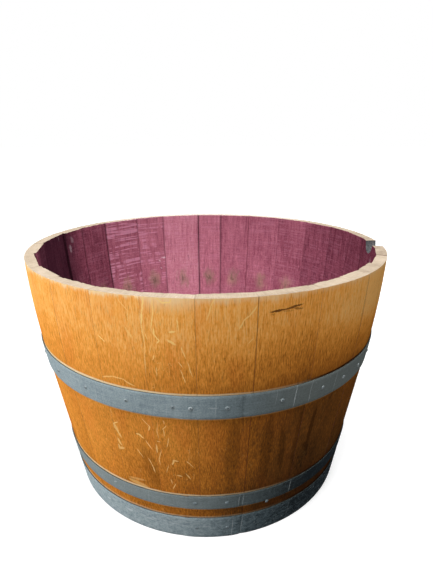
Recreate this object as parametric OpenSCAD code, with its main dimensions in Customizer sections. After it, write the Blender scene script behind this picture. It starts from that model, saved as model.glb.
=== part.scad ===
// Half of an oak wine barrel, sawn across at its widest point and used as a floor planter.
// It stands on its old end. The origin is on the floor, on the barrel's axis, with +Z up.
// Angles are measured round the axis from +X, and -90 is the front.

/* [Half barrel] */
// Height from the floor to the saw cut
height = 470; // [430:1:500]
// Outer diameter over the staves at the saw cut
cut_d = 690; // [660:1:720]
// Outer diameter over the staves at the closed end
end_d = 567; // [550:1:590]
// Height up to which the staves run straight, before they bow
straight_h = 280; // [200:1:330]
// Radius of the bow of the staves, lengthways
bow_r = 1540; // [1300:10:2400]

/* [Staves] */
// Thickness of an average stave, at its middle
stave_t = 20; // [19:0.5:24]
// How thick each stave is as a share of the average one, going round from the left
stave_t_share = [1.1, 0.95, 1, 0.9, 0.9, 0.9, 1, 1.05, 1.15, 1.2, 1.2, 1, 1, 1.05, 1, 0.95, 1.05, 1, 0.95,
    1.1, 1, 1.05, 0.95, 1.05, 1, 1.1, 1];
// Width of each stave at the cut, going round from the left; the ring closes on their shares
stave_w = [87, 102, 78, 87, 78, 75, 84, 99, 60, 51, 63, 66, 51, 102, 66, 72, 84, 87, 90, 81, 66, 102,
    78, 99, 81, 66, 105];
// Angle of the first joint
first_joint_a = -177.5; // [-180:0.5:-175]
// Gap that drying has left between two staves, at the cut
joint_gap = 0.3; // [0.1:0.05:0.6]

/* [Bung hole] */
// Number of the stave with the bung hole
bung_stave = 14; // [12:1:16]
// Diameter of the bung hole outside
bung_d = 50; // [40:1:56]
// Diameter of the bung hole inside
bung_inner_d = 46; // [38:1:54]
// How far the saw passed below the middle of the bung hole
bung_above_cut = 1.5; // [0:0.5:6]

/* [Lower end of the staves] */
// Wood left at the foot of a stave
foot_t = 9; // [7:0.5:12]
// Height of the bevel inside the foot
foot_bevel_h = 12; // [8:1:20]
// Wood left where the inside is planed round for the head
planed_t = 15; // [13:0.5:17]
// Height up to which the inside is planed round
planed_h = 72; // [68:1:90]
// Height over which the planing runs out
planed_fade_h = 20; // [10:1:40]
// Height of the middle of the croze, the groove that holds the head
croze_z = 45; // [40:1:52]
// Depth of the croze
croze_depth = 5; // [3:0.5:7]

/* [Head] */
// Thickness of the head boards
head_t = 20; // [16:1:24]
// Thickness of the head at its edge
head_edge_t = 7; // [5:0.5:10]
// Width of the bevel round the head, on both faces
head_bevel_w = 18; // [14:1:26]
// Width of each head board, from the front; the head is filled by their shares
board_w = [88, 96, 92, 100, 94, 91];
// Gap between two head boards
board_gap = 0.2; // [0.1:0.05:0.5]
// Gap between the head's edge and the floor of the croze
head_gap = 0.3; // [0.2:0.05:0.6]
// Play of the head up and down in the croze, on each side
croze_play = 0.2; // [0.1:0.05:0.4]
// Diameter of the drain holes
drain_d = 16; // [10:1:24]
// Distance of each drain hole from the middle, along its board
drain_x = 70; // [40:5:90]

/* [Dowels] */
// Diameter of the dowels between the head boards
dowel_d = 10; // [6:0.5:12]
// Length of a dowel
dowel_l = 44; // [30:1:60]
// Distance of each dowel from the middle, along the joint
dowel_x = 125; // [115:5:150]
// Gap round a dowel
dowel_gap = 0.1; // [0.05:0.05:0.2]
// Gap at each end of a dowel
dowel_end_gap = 0.5; // [0.2:0.1:2]

/* [Hoops] */
// Thickness of the hoop strip
hoop_t = 2; // [1.2:0.1:2.6]
// Gap between a hoop and the staves
hoop_gap = 0.3; // [0.25:0.05:0.5]
// Height of the lower edge of the bilge hoop
bilge_hoop_z = 275; // [240:1:300]
// Width of the bilge hoop
bilge_hoop_w = 42; // [36:1:56]
// Height of the lower edge of the quarter hoop
quarter_hoop_z = 75; // [68:1:120]
// Width of the quarter hoop
quarter_hoop_w = 30; // [28:1:46]
// Height of the lower edge of the chime hoop
chime_hoop_z = 1; // [0.5:0.5:4]
// Width of the chime hoop
chime_hoop_w = 50; // [40:1:56]

/* [Lap of the hoops] */
// Angle of the first rivet of each lap, where the rivets of the three hoops line up
lap_a = -94.7; // [-110:0.1:-90]
// Distance between the two rivets of a lap
rivet_pitch = 53; // [40:1:60]
// Distance from the second rivet to the end that shows
lap_end = 22; // [16:1:30]
// Distance from the first rivet to the end that is covered
lap_tail = 12; // [10:0.5:14]
// Length of the step in the strip beside the lap
step_l = 8; // [6:0.5:9]
// Gap between the two layers of a lap
lap_gap = 0.2; // [0.1:0.05:0.4]
// Gap between the covered end and the step
tail_gap = 1; // [0.5:0.5:2]

/* [Rivets and nails] */
// Diameter of a rivet
rivet_d = 4.5; // [4:0.5:6]
// Diameter of a rivet head
rivet_head_d = 7; // [6:0.5:11]
// Height of a rivet head
rivet_head_h = 1.4; // [1:0.1:2.5]
// Diameter of a nail
nail_d = 3; // [2:0.1:4]
// Length of a nail under its head
nail_l = 18; // [12:0.5:18.5]
// Length of a nail's point
nail_point_l = 4; // [3:0.5:6]
// Diameter of a nail head
nail_head_d = 6.5; // [5.5:0.5:9]
// Height of a nail head
nail_head_h = 1.2; // [1:0.1:2]
// Numbers of the staves with a nail under the lower edge of the quarter hoop
edge_nail_staves = [8, 14, 20, 27];
// Gap round a nail or rivet
shank_gap = 0.1; // [0.05:0.05:0.2]
// Gap under a nail head or rivet head
head_seat_gap = 0.1; // [0.05:0.05:0.2]

/* [Hidden] */
$fn = 48;

// Sides that a full ring round the barrel is drawn with
ring_fn = 256;

// Degrees in a full turn
full_turn = 360;
// How far a cutting shape runs past the face that it cuts
past = 1;
// Straight pieces that make up the bow of a stave
bow_steps = 8;
// Straight pieces that make up the part of a hoop that lies on the bow
hoop_steps = 4;
// Wood that the round planing reaches past the thickest stave
fade_past = 3;
// Length of a cut or block that has to reach right across the barrel
across = 2 * cut_d;
// Tip of a nail's point
nail_tip_d = 0.6;

oak_outside = [0.70, 0.42, 0.16];
oak_head = [0.52, 0.30, 0.30];
beech = [0.80, 0.66, 0.46];
zinc = [0.50, 0.55, 0.58];
bright_zinc = [0.66, 0.70, 0.72];

// Outer radius of the staves at height z, straight at first and then bowed
function bow_sag(z) = pow(max(0, z - straight_h), 2) / (2 * bow_r);
flare = (cut_d / 2 - end_d / 2 + bow_sag(height)) / height;
function outer_r(z) = end_d / 2 + flare * z - bow_sag(z);
// Lean of the outside at height z, in degrees
function lean_a(z) = atan(flare - max(0, z - straight_h) / bow_r);

// Heights between low and high at which the outside changes its slope
function slope_heights(low, high, steps) = high <= straight_h
    ? [low, high]
    : let (from = max(low, straight_h))
        concat(low < from ? [low] : [], [for (i = [0:steps]) from + (high - from) * i / steps]);
function reversed(list) = [for (i = [len(list) - 1:-1:0]) list[i]];

// Sum of the first n numbers of a list
function sum_to(list, n) = n <= 0 ? 0 : list[n - 1] + sum_to(list, n - 1);

// Round the ring: where stave i starts, how wide it is and where its middle is
stave_count = len(stave_w);
thickest_t = stave_t * max(stave_t_share);
gap_a = joint_gap / (cut_d / 2) * 180 / PI;
function joint_a(i) = first_joint_a + full_turn * sum_to(stave_w, i) / sum_to(stave_w, stave_count);
function stave_a(i) = joint_a(i + 1) - joint_a(i) - gap_a;
function mid_a(i) = (joint_a(i) + joint_a(i + 1)) / 2;

// The croze, and the head that it holds
croze_r = outer_r(croze_z) - planed_t + croze_depth;
head_r = croze_r - head_gap;
bevel_slope = (head_t - head_edge_t) / 2 / head_bevel_w;
croze_floor_h = head_edge_t + 2 * croze_play;
croze_mouth_h = croze_floor_h + 2 * croze_depth * bevel_slope;

// The head boards, across Y from the front
board_count = len(board_w);
function board_y(i) = head_r * (2 * sum_to(board_w, i) / sum_to(board_w, board_count) - 1);

// Angle that a length along a hoop at height z takes up
function arc_a(length, z) = length / outer_r(z) * 180 / PI;
// Angles of the two rivets, the end that shows and the far side of the step, for a hoop at height z
function rivet_a(z) = [lap_a, lap_a + arc_a(rivet_pitch, z)];
function lap_end_a(z) = rivet_a(z)[1] + arc_a(lap_end, z);
function tail_a(z) = lap_a - arc_a(lap_tail, z);
function step_a(z) = tail_a(z) - arc_a(step_l, z);

// Middle heights of the hoops
bilge_mid_z = bilge_hoop_z + bilge_hoop_w / 2;
quarter_mid_z = quarter_hoop_z + quarter_hoop_w / 2;
chime_mid_z = chime_hoop_z + chime_hoop_w / 2;
// Height of the nails that hold up the quarter hoop: their shanks are just under its edge
edge_nail_z = quarter_hoop_z - nail_d / 2 - shank_gap;

// A stave has a nail through the bilge hoop, unless its middle is at the lap
nail_room_a = arc_a(nail_head_d / 2, bilge_mid_z);
function at_lap(a) = a > step_a(bilge_mid_z) - nail_room_a && a < lap_end_a(bilge_mid_z) + nail_room_a;
bilge_nail_staves = [for (i = [0:stave_count - 1]) if (!at_lap(mid_a(i))) i];
edge_nail_list = [for (n = edge_nail_staves) n - 1];

function two_digits(n) = n < 10 ? str("0", n) : str(n);
function stave_name(i) = str("stave_", two_digits(i + 1));
function board_name(i) = str("head_board_", i + 1);
stave_names = [for (i = [0:stave_count - 1]) stave_name(i)];
board_names = [for (i = [0:board_count - 1]) board_name(i)];

// Places its children square to the outside of the staves, with +Z outwards, opposite the point
// at height z and angle a. They lie on a layer whose radius is lift more than the staves'.
module on_outside(z, a, lift) {
    rotate([0, 0, a])
        translate([outer_r(z), 0, z])
            rotate([0, 90 + lean_a(z), 0])
                translate([0, 0, lift * cos(lean_a(z))])
                    children();
}

// Half of a stave's section: round outside, and inside the round planing, the croze and the foot
module stave_section() {
    heights = concat([0], slope_heights(straight_h, height, bow_steps));
    outside = [for (z = heights) [outer_r(z), z]];
    core_t = thickest_t + fade_past;
    mouth_top = croze_z + croze_mouth_h / 2;
    mouth_low = croze_z - croze_mouth_h / 2;
    fade_z = planed_h + planed_fade_h;
    inside = [
        [outer_r(height) - core_t, height],
        [outer_r(fade_z) - core_t, fade_z],
        [outer_r(planed_h) - planed_t, planed_h],
        [outer_r(mouth_top) - planed_t, mouth_top],
        [croze_r, croze_z + croze_floor_h / 2],
        [croze_r, croze_z - croze_floor_h / 2],
        [outer_r(mouth_low) - planed_t, mouth_low],
        [outer_r(foot_bevel_h) - planed_t, foot_bevel_h],
        [outer_r(0) - foot_t, 0]
    ];
    polygon(concat(outside, inside));
}

// The plank that stave i is cut from: flat inside across its width, and bowed lengthways
module stave_plank(i) {
    t = stave_t * stave_t_share[i];
    heights = concat([-past], slope_heights(straight_h, height + past, bow_steps));
    inside = [for (z = heights) [outer_r(z) - t, z]];
    back = cut_d / 2 + past;
    rotate([90, 0, 0])
        linear_extrude(height = across, center = true)
            polygon(concat(inside, [[back, height + past], [back, -past]]));
}

// The hole that a nail at height z and angle a leaves under a layer that lies lift over the staves
module nail_hole(z, a, lift) {
    on_outside(z, a, lift)
        translate([0, 0, -nail_l - 2 * shank_gap])
            cylinder(h = nail_l + lift + past, d = nail_d + 2 * shank_gap);
}

// The bung hole, through the stave at angle a and cut open by the saw
module bung_hole(a) {
    reach = thickest_t + past;
    slope = (bung_d - bung_inner_d) / 2 / stave_t;
    rotate([0, 0, a])
        translate([cut_d / 2 - reach, 0, height + bung_above_cut])
            rotate([0, 90, 0])
                cylinder(h = reach + past, d1 = bung_d - 2 * slope * reach, d2 = bung_d + 2 * slope * past);
}

module stave(i) {
    a = mid_a(i);
    color(oak_outside)
        difference() {
            intersection() {
                rotate_extrude(angle = stave_a(i), start = joint_a(i) + gap_a / 2, $fn = ring_fn)
                    stave_section();
                rotate([0, 0, a])
                    stave_plank(i);
            }
            if (!at_lap(a)) nail_hole(bilge_mid_z, a, hoop_gap + hoop_t);
            if (len(search(i, edge_nail_list)) > 0) nail_hole(edge_nail_z, a, hoop_gap + hoop_t);
            if (i == bung_stave - 1) bung_hole(a);
        }
}

// The whole head as one round board, bevelled on both faces to fit the croze
module head_round() {
    rotate_extrude($fn = ring_fn)
        polygon([
            [0, croze_z - head_t / 2],
            [head_r - head_bevel_w, croze_z - head_t / 2],
            [head_r, croze_z - head_edge_t / 2],
            [head_r, croze_z + head_edge_t / 2],
            [head_r - head_bevel_w, croze_z + head_t / 2],
            [0, croze_z + head_t / 2]
        ]);
}

// Both dowels of the joint between boards i - 1 and i, with room more all round and at the ends
module joint_dowels(i, room, end_room) {
    for (side = [-1, 1])
        translate([side * dowel_x, board_y(i), croze_z])
            rotate([90, 0, 0])
                cylinder(h = dowel_l + 2 * end_room, d = dowel_d + 2 * room, center = true);
}

// Drain holes go through all the boards but the first and the last, left and right in turn
module drain_hole(i) {
    side = i % 2 == 0 ? -1 : 1;
    translate([side * drain_x, (board_y(i) + board_y(i + 1)) / 2, croze_z])
        cylinder(h = head_t + 2 * past, d = drain_d, center = true);
}

module head_board(i) {
    front = board_y(i) + (i > 0 ? board_gap / 2 : -past);
    back = board_y(i + 1) + (i < board_count - 1 ? -board_gap / 2 : past);
    color(oak_head)
        difference() {
            intersection() {
                head_round();
                translate([-across / 2, front, croze_z - head_t / 2 - past])
                    cube([across, back - front, head_t + 2 * past]);
            }
            if (i > 0) joint_dowels(i, dowel_gap, dowel_end_gap);
            if (i < board_count - 1) joint_dowels(i + 1, dowel_gap, dowel_end_gap);
            if (i > 0 && i < board_count - 1) drain_hole(i);
        }
}

module head_dowels() {
    color(beech)
        for (i = [1:board_count - 1]) joint_dowels(i, 0, 0);
}

// A stretch of hoop strip between two angles, thick mm thick and lift mm over the inner layer
module strip(z, w, from_a, to_a, lift, thick) {
    heights = slope_heights(z, z + w, hoop_steps);
    inner = [for (h = heights) [outer_r(h) + hoop_gap + lift, h]];
    outer = [for (h = reversed(heights)) [outer_r(h) + hoop_gap + lift + thick, h]];
    rotate_extrude(angle = to_a - from_a, start = from_a, $fn = ring_fn)
        polygon(concat(inner, outer));
}

// One strip bent round the staves: its end steps up over its own start and is riveted to it
module hoop(z, w) {
    mid = z + w / 2;
    start_a = tail_a(mid) + arc_a(tail_gap, mid);
    in_step_a = (step_a(mid) + tail_a(mid)) / 2;
    lap_lift = hoop_t + lap_gap;
    difference() {
        union() {
            strip(z, w, start_a, in_step_a + full_turn, 0, hoop_t);
            strip(z, w, step_a(mid), tail_a(mid), 0, lap_lift + hoop_t);
            strip(z, w, in_step_a, lap_end_a(mid), lap_lift, hoop_t);
        }
        for (a = rivet_a(mid))
            on_outside(mid, a, 0)
                cylinder(h = 3 * hoop_t + lap_gap + hoop_gap, d = rivet_d + 2 * shank_gap);
    }
}

module bilge_hoop() {
    color(zinc)
        difference() {
            hoop(bilge_hoop_z, bilge_hoop_w);
            for (i = bilge_nail_staves) nail_hole(bilge_mid_z, mid_a(i), hoop_gap + hoop_t);
        }
}

module quarter_hoop() {
    color(zinc) hoop(quarter_hoop_z, quarter_hoop_w);
}

module chime_hoop() {
    color(zinc) hoop(chime_hoop_z, chime_hoop_w);
}

// A low domed head, d wide and h high, on the plane z = 0
module domed_head(d, h) {
    dome_r = (d * d / 4 + h * h) / (2 * h);
    intersection() {
        translate([0, 0, h - dome_r]) sphere(r = dome_r);
        cylinder(h = h + past, d = d + past);
    }
}

// The two rivets of the lap of a hoop whose middle is at height z
module rivets(z) {
    grip = 2 * hoop_t + lap_gap;
    color(bright_zinc)
        for (a = rivet_a(z))
            on_outside(z, a, hoop_gap + grip + head_seat_gap) {
                domed_head(rivet_head_d, rivet_head_h);
                translate([0, 0, -grip - head_seat_gap])
                    cylinder(h = grip + head_seat_gap + rivet_head_h / 2, d = rivet_d);
            }
}

// A round nail with its head on a hoop, at height z and angle a
module nail(z, a) {
    on_outside(z, a, hoop_gap + hoop_t + head_seat_gap) {
        domed_head(nail_head_d, nail_head_h);
        translate([0, 0, nail_point_l - nail_l])
            cylinder(h = nail_l - nail_point_l + nail_head_h / 2, d = nail_d);
        translate([0, 0, -nail_l])
            cylinder(h = nail_point_l, d1 = nail_tip_d, d2 = nail_d);
    }
}

module bilge_hoop_nails() {
    color(bright_zinc)
        for (i = bilge_nail_staves) nail(bilge_mid_z, mid_a(i));
}

// These are driven under the hoop's edge, and their heads hold it up
module quarter_hoop_nails() {
    color(bright_zinc)
        for (i = edge_nail_list) nail(edge_nail_z, mid_a(i));
}

for (i = [0:stave_count - 1])
    stave(i);
for (i = [0:board_count - 1])
    head_board(i);
head_dowels();
bilge_hoop();
quarter_hoop();
chime_hoop();
rivets(bilge_mid_z);  // bilge_hoop_rivets
rivets(quarter_mid_z);  // quarter_hoop_rivets
rivets(chime_mid_z);  // chime_hoop_rivets
bilge_hoop_nails();
quarter_hoop_nails();
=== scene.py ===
import math
from functools import reduce

import bmesh
import bpy
import numpy as np
from mathutils import Matrix, Vector, noise


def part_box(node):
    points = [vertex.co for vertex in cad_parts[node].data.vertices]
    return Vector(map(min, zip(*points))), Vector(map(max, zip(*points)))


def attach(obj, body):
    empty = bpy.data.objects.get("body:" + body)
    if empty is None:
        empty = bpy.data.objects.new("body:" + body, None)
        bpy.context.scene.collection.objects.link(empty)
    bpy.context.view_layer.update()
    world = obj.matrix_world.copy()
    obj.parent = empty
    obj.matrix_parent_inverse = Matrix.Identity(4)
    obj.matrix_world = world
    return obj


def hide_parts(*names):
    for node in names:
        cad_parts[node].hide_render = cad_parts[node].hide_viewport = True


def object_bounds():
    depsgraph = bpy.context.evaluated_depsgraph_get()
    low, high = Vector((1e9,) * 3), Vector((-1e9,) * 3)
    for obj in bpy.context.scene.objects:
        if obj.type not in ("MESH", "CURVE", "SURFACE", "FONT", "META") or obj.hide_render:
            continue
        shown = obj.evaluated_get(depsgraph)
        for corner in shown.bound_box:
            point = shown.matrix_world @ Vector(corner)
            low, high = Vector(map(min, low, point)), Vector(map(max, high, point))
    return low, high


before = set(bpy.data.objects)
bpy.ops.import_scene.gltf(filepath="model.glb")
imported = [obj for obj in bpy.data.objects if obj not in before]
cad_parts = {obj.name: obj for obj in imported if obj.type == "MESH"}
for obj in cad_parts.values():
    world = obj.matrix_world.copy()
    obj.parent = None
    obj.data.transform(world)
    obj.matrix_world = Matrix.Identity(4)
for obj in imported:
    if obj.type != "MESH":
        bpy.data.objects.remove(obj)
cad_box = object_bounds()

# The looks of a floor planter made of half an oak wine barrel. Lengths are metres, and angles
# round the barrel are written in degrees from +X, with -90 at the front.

BODY = "root"
MM = 0.001
TURN = 2 * math.pi

# ---- Driving dimensions, as the solids have them ----
HEIGHT = cad_box[1].z
CUT_R = 0.345
END_R = 0.2835
STRAIGHT_H = 0.280
BOW_R = 1.540
FOOT_T = 0.009
FOOT_BEVEL_H = 0.012
PLANED_T = 0.015
PLANED_H = 0.072
CORE_Z = PLANED_H + 0.020
CORE_T = 0.027
CROZE_Z = 0.045
CROZE_DEPTH = 0.005
CROZE_FLOOR_H = 0.0074
CROZE_MOUTH_H = 0.0110
HEAD_GAP = 0.0003
HEAD_T = 0.020
HEAD_EDGE_T = 0.007
HEAD_BEVEL_W = 0.018
DRAIN_D = 0.016
DRAIN_X = 0.070
BUNG_STAVE = 14
BUNG_D = 0.050
BUNG_TAPER = 0.1
BUNG_ABOVE_CUT = 0.0015
HOOP_T = 0.002
HOOP_GAP = 0.0003
LAP_A = -94.7
RIVET_PITCH = 0.053
LAP_END = 0.022
LAP_TAIL = 0.012
LAP_GAP = 0.0002
TAIL_GAP = 0.001
STEP_L = 0.008
SEAT_GAP = 0.0001
# Both layers of a lap are hammered to this thickness over this length, and the end to less
LAP_T, THIN_L, END_T = 0.0012, 0.014, 0.0006
# How far each side of a stave swells into the gap beside it
SWELL = 0.00014
RIVET_D = 0.0045
RIVET_HEAD = (0.007, 0.0014)
NAIL_D = 0.003
NAIL_L = 0.018
NAIL_STRAIGHT_L = 0.014
NAIL_HEAD = (0.0065, 0.0012)

STAVE_COUNT = 27
BOARD_COUNT = 6
HOOPS = ("bilge_hoop", "quarter_hoop", "chime_hoop")

# ---- Unevenness and fineness of the meshes ----
WAVY_OUTSIDE, WAVY_INSIDE, WAVY_CUT = 0.15 * MM, 0.5 * MM, 0.25 * MM
WAVY_BOARD, WAVY_HOOP = 0.2 * MM, 0.12 * MM
TORN_OUTSIDE, TORN_INSIDE = 1.1 * MM, 1.6 * MM
# The saw cut sinks over this height
SINK_H = 0.014
# Steps across, through and along a stave, more heights low on it, and the last under the saw cut
STAVE_CELL, STAVE_DEEP, STAVE_STEPS = 0.004, 6, 34
EXTRA_HEIGHTS = (0.006, 0.022, 0.031, 0.058, 0.082)
UNDER_CUT = (0.012, 0.007, 0.003)
BUNG_STEPS, DRAIN_STEPS, FASTENER_STEPS = 96, 48, 28
# Steps of a head board: from its middle to its rim, across it and through it
BOARD_STEPS, BOARD_WIDE, BOARD_DEEP = 24, 12, (0.0, 0.3, 0.7, 1.0)
# Steps round a hoop: to the step of its lap, over that, and to its end; and over its width
HOOP_STEPS, HOOP_WIDE = (360, 10, 16), 8
# Points closer than this become one
WELD = 1e-6

# ---- The photograph's frame and camera ----
IMAGE_SIZE = (433, 577)
FOCAL_PX = 433.0
SENSOR_MM = 36.0
CAMERA_AT = (-0.0035, -0.8686, 0.6609)
CAMERA_YAW = 1.49
CAMERA_PITCH = -18.74
CAMERA_ROLL = -0.05

# ---- Wood of the staves, going round from the left ----
# How light the outside is, from 0 dark to 1 light
OUTSIDE_TONE = [0.6, 0.58, 0.6, 0.62, 0.6, 0.54, 0.56, 0.53, 0.54, 0.52, 0.56, 0.54, 0.5, 0.46,
                0.52, 0.46, 0.55, 0.48, 0.58, 0.5, 0.44, 0.56, 0.6, 0.5, 0.58, 0.54, 0.6]
# How light the wine-stained inside is: each stave's own tone, with painted light on the back
# wall and painted shade on the side walls
INSIDE_TONE = [0.42, 0.5, 0.46, 0.55, 0.5, 0.44, 0.56, 0.5, 0.46, 0.54, 0.48, 0.52, 0.44, 0.34,
               0.32, 0.32, 0.36, 0.48, 0.52, 0.56, 0.66, 0.8, 0.64, 0.56, 0.36, 0.32, 0.3]
# How light the sawn end is
RIM_TONE = [0.6, 0.58, 0.6, 0.6, 0.58, 0.6, 0.52, 0.4, 0.56, 0.58, 0.42, 0.54, 0.4, 0.38,
            0.44, 0.5, 0.54, 0.58, 0.6, 0.62, 0.62, 0.62, 0.64, 0.6, 0.56, 0.58, 0.58]
# How strongly the ray flecks show outside, and the scrapes across the grain inside
FLECK = [0.2, 0.3, 0.3, 0.4, 0.9, 1.0, 0.35, 0.2, 0.2, 0.3, 0.2, 0.4, 0.2, 0.2,
         0.6, 0.1, 0.3, 0.8, 0.1, 0.2, 0.5, 0.1, 0.1, 0.7, 0.2, 0.1, 0.4]
SCRAPE = [0.2, 0.4, 0.1, 0.3, 0.6, 0.2, 0.1, 0.5, 0.2, 0.1, 0.4, 0.2, 0.1, 0.1,
          0.1, 0.15, 0.15, 0.25, 0.2, 0.15, 0.2, 0.3, 0.75, 1.0, 0.15, 0.1, 0.0]
# How dark the joint after each stave is, outside, inside and on the saw cut
JOINTS_OUTSIDE = [0.0, 0.1, 0.1, 0.0, 0.0, 0.3, 0.8, 0.1, 0.0, 0.1, 0.0, 0.05, 0.05, 0.2,
                  0.3, 0.6, 0.3, 0.5, 0.4, 0.6, 0.3, 0.5, 0.3, 0.5, 0.4, 0.5, 0.2]
JOINTS_INSIDE = [0.4, 0.5, 0.3, 0.6, 0.4, 0.5, 0.3, 0.4, 0.5, 0.3, 0.6, 0.4, 0.4, 0.3,
                 0.1, 0.1, 0.1, 0.1, 0.05, 0.7, 1.0, 0.4, 0.3, 0.9, 1.0, 0.7, 0.9]
JOINTS_CUT = [0.2, 0.1, 0.1, 0.15, 0.1, 0.25, 0.1, 0.1, 0.2, 0.1, 0.1, 0.8, 0.3, 0.4,
              0.2, 0.3, 0.2, 0.1, 0.1, 0.2, 0.3, 0.1, 0.1, 0.2, 0.3, 0.6, 0.3]
# How far the outside and the saw cut lie under their true place, in mm
OUTSIDE_DROP = [0.05, 0.1, 0.0, 0.08, 0.12, 0.04, 0.0, 0.1, 0.05, 0.12, 0.0, 0.08, 0.04, 0.1,
                0.15, 0.0, 0.1, 0.2, 0.05, 0.15, 0.0, 0.2, 0.1, 0.0, 0.12, 0.2, 0.1]
RIM_DROP = [0.3, 0.2, 0.4, 0.3, 0.25, 0.1, 0.3, 0.2, 0.35, 0.4, 0.3, 0.5, 0.1, 0.4,
            0.2, 0.3, 0.4, 0.3, 0.4, 0.2, 0.4, 0.3, 0.1, 0.4, 0.3, 0.5, 0.2]


def colour(red, green, blue):
    """A colour read off a screen, from 0 to 255, as the shaders take it."""
    def linear(value):
        value /= 255
        return value / 12.92 if value <= 0.04045 else ((value + 0.055) / 1.055) ** 2.4
    return (linear(red), linear(green), linear(blue), 1.0)


# ---- Shape of the barrel ----
def bow_sag(z):
    return max(0.0, z - STRAIGHT_H) ** 2 / (2 * BOW_R)


FLARE = (CUT_R - END_R + bow_sag(HEIGHT)) / HEIGHT


def outer_r(z):
    """Outer radius of the staves: straight at first and then bowed."""
    return END_R + FLARE * z - bow_sag(z)


def lean(z):
    return math.atan(FLARE - max(0.0, z - STRAIGHT_H) / BOW_R)


def outside_frame(z, angle, lift):
    """Square to the outside of the staves, with +Z outwards, as in the solids."""
    return (Matrix.Rotation(angle, 4, "Z")
            @ Matrix.Translation((outer_r(z), 0, z))
            @ Matrix.Rotation(math.pi / 2 + lean(z), 4, "Y")
            @ Matrix.Translation((0, 0, lift * math.cos(lean(z)))))


CROZE_R = outer_r(CROZE_Z) - PLANED_T + CROZE_DEPTH
HEAD_R = CROZE_R - HEAD_GAP


def inside_profile():
    """Heights and radii of the round inside: the foot, the croze, the planing and the core."""
    mouth, floor = CROZE_MOUTH_H / 2, CROZE_FLOOR_H / 2
    planed = [(z, outer_r(z) - PLANED_T)
              for z in (FOOT_BEVEL_H, CROZE_Z - mouth, CROZE_Z + mouth, PLANED_H)]
    croze = [(CROZE_Z - floor, CROZE_R), (CROZE_Z + floor, CROZE_R)]
    core = [(z, outer_r(z) - CORE_T) for z in (CORE_Z, HEIGHT)]
    return sorted([(0.0, END_R - FOOT_T)] + planed + croze + core)


PROFILE_Z, PROFILE_R = zip(*inside_profile())


def middle_z(node):
    """Height of the middle of a solid."""
    return sum(corner.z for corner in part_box(node)) / 2


# ---- Mesh tools ----
def between(start, end, count):
    """Even steps from start to end, without the end."""
    return [start + (end - start) * k / count for k in range(count)]


def mesh_from(bm, name):
    mesh = bpy.data.meshes.new(name)
    bm.to_mesh(mesh)
    bm.free()
    return mesh


def block_mesh(name, across, deep, along, place, slots):
    """A closed mesh on the six sides of a block. place(u, t, s) gives the point for a step across,
    one through the thickness and one along; slots are the material numbers of the outside, the
    inside, the edges and the ends."""
    bm = bmesh.new()
    made = {}

    def vert(i, j, k):
        if (i, j, k) not in made:
            made[i, j, k] = bm.verts.new(place(across[i], deep[j], along[k]))
        return made[i, j, k]

    def side(slot, first, second, corner):
        for a in range(first):
            for b in range(second):
                around = (a, b), (a + 1, b), (a + 1, b + 1), (a, b + 1)
                bm.faces.new([vert(*corner(*at)) for at in around]).material_index = slot

    outside, inside, edge, end = slots
    nu, nt, ns = len(across) - 1, len(deep) - 1, len(along) - 1
    side(outside, nu, ns, lambda a, b: (a, 0, b))
    side(inside, ns, nu, lambda a, b: (b, nt, a))
    side(edge, ns, nt, lambda a, b: (0, b, a))
    side(edge, nt, ns, lambda a, b: (nu, a, b))
    side(end, nt, nu, lambda a, b: (b, a, 0))
    side(end, nu, nt, lambda a, b: (a, b, ns))
    bmesh.ops.remove_doubles(bm, verts=bm.verts, dist=WELD)
    bmesh.ops.dissolve_degenerate(bm, edges=bm.edges, dist=WELD)
    bmesh.ops.recalc_face_normals(bm, faces=bm.faces)
    return mesh_from(bm, name)


def lathe_mesh(name, profile, steps):
    """A closed mesh turned from (radius, height) points round +Z."""
    bm = bmesh.new()
    turns = between(0, TURN, steps)
    rings = []
    for radius, height in profile:
        if radius == 0:
            rings.append([bm.verts.new((0, 0, height))] * steps)
        else:
            rings.append([bm.verts.new((radius * math.cos(a), radius * math.sin(a), height))
                          for a in turns])
    for low, high in zip(rings, rings[1:]):
        for k in range(steps):
            n = (k + 1) % steps
            bm.faces.new(list(dict.fromkeys([low[k], low[n], high[n], high[k]])))
    bmesh.ops.recalc_face_normals(bm, faces=bm.faces)
    return mesh_from(bm, name)


def add_object(name, mesh, materials):
    piece = bpy.data.objects.new(name, mesh)
    bpy.context.scene.collection.objects.link(piece)
    for material in materials:
        mesh.materials.append(material)
    return piece


def round_edges(piece, width, segments):
    """Rounds the edges that are sharper than 30 degrees."""
    bevel = piece.modifiers.new("round", "BEVEL")
    bevel.width = width
    bevel.segments = segments
    bevel.limit_method = "ANGLE"
    bevel.angle_limit = math.radians(30)


def cut_with(piece, mesh, matrix, material):
    """Cuts a mesh out of a piece; the walls of the cut get the material."""
    cutter = add_object("cutter", mesh, [material])
    cutter.matrix_world = matrix
    boolean = piece.modifiers.new("cut", "BOOLEAN")
    boolean.object = cutter
    boolean.operation = "DIFFERENCE"
    boolean.solver = "EXACT"
    boolean.material_mode = "TRANSFER"
    return cutter


def shade_smooth(mesh, sharp):
    """Smooths a mesh up to the corners that are sharper than so many degrees."""
    mesh.polygons.foreach_set("use_smooth", [True] * len(mesh.polygons))
    mesh.set_sharp_from_angle(angle=math.radians(sharp))


def apply_modifiers(piece, cutters=()):
    """Bakes the modifiers into the mesh and smooths it."""
    bpy.context.view_layer.update()
    shaped = piece.evaluated_get(bpy.context.evaluated_depsgraph_get())
    mesh = bpy.data.meshes.new_from_object(shaped)
    piece.modifiers.clear()
    piece.data = mesh
    for cutter in cutters:
        bpy.data.objects.remove(cutter)
    shade_smooth(mesh, 40)


def dress(piece, node):
    """Hangs a piece on the body it rides on and hides the solid that it stands for."""
    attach(piece, BODY)
    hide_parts(node)


def points_of(mesh):
    flat = np.zeros(len(mesh.vertices) * 3, np.float32)
    mesh.vertices.foreach_get("co", flat)
    return flat.reshape(-1, 3).astype(float)


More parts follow.
